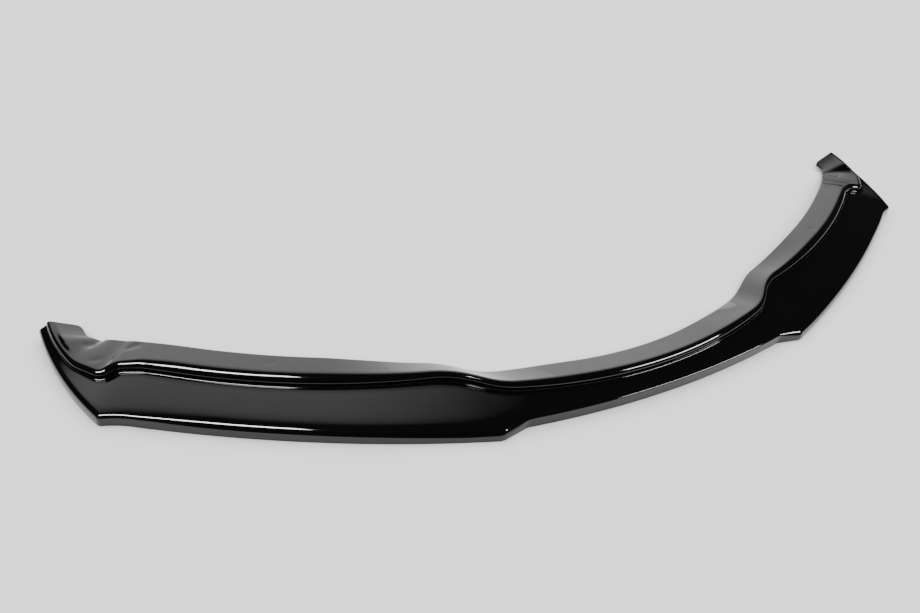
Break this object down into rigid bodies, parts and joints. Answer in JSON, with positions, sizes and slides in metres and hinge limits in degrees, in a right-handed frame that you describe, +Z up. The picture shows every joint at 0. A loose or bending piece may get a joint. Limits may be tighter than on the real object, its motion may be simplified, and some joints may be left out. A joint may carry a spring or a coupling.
{
  "type": "front splitter lip",
  "caption": "Wide, low, swept-back gloss black lip: a blade with a turned-down rim, a riser and a sloping rear flange with turned-back ends, fitted under the front of a car.",
  "frame": {"origin": "middle of the plan, on the ground under the rim", "axes": "+X along the width, +Y from the nose to the rear, +Z up"},
  "size_m": [1.7236, 0.46, 0.0409],
  "materials": {
    "black_abs": "gloss"
  },
  "bodies": {
    "root": {"splitter_lip": "black_abs"}
  },
  "joints": []
}
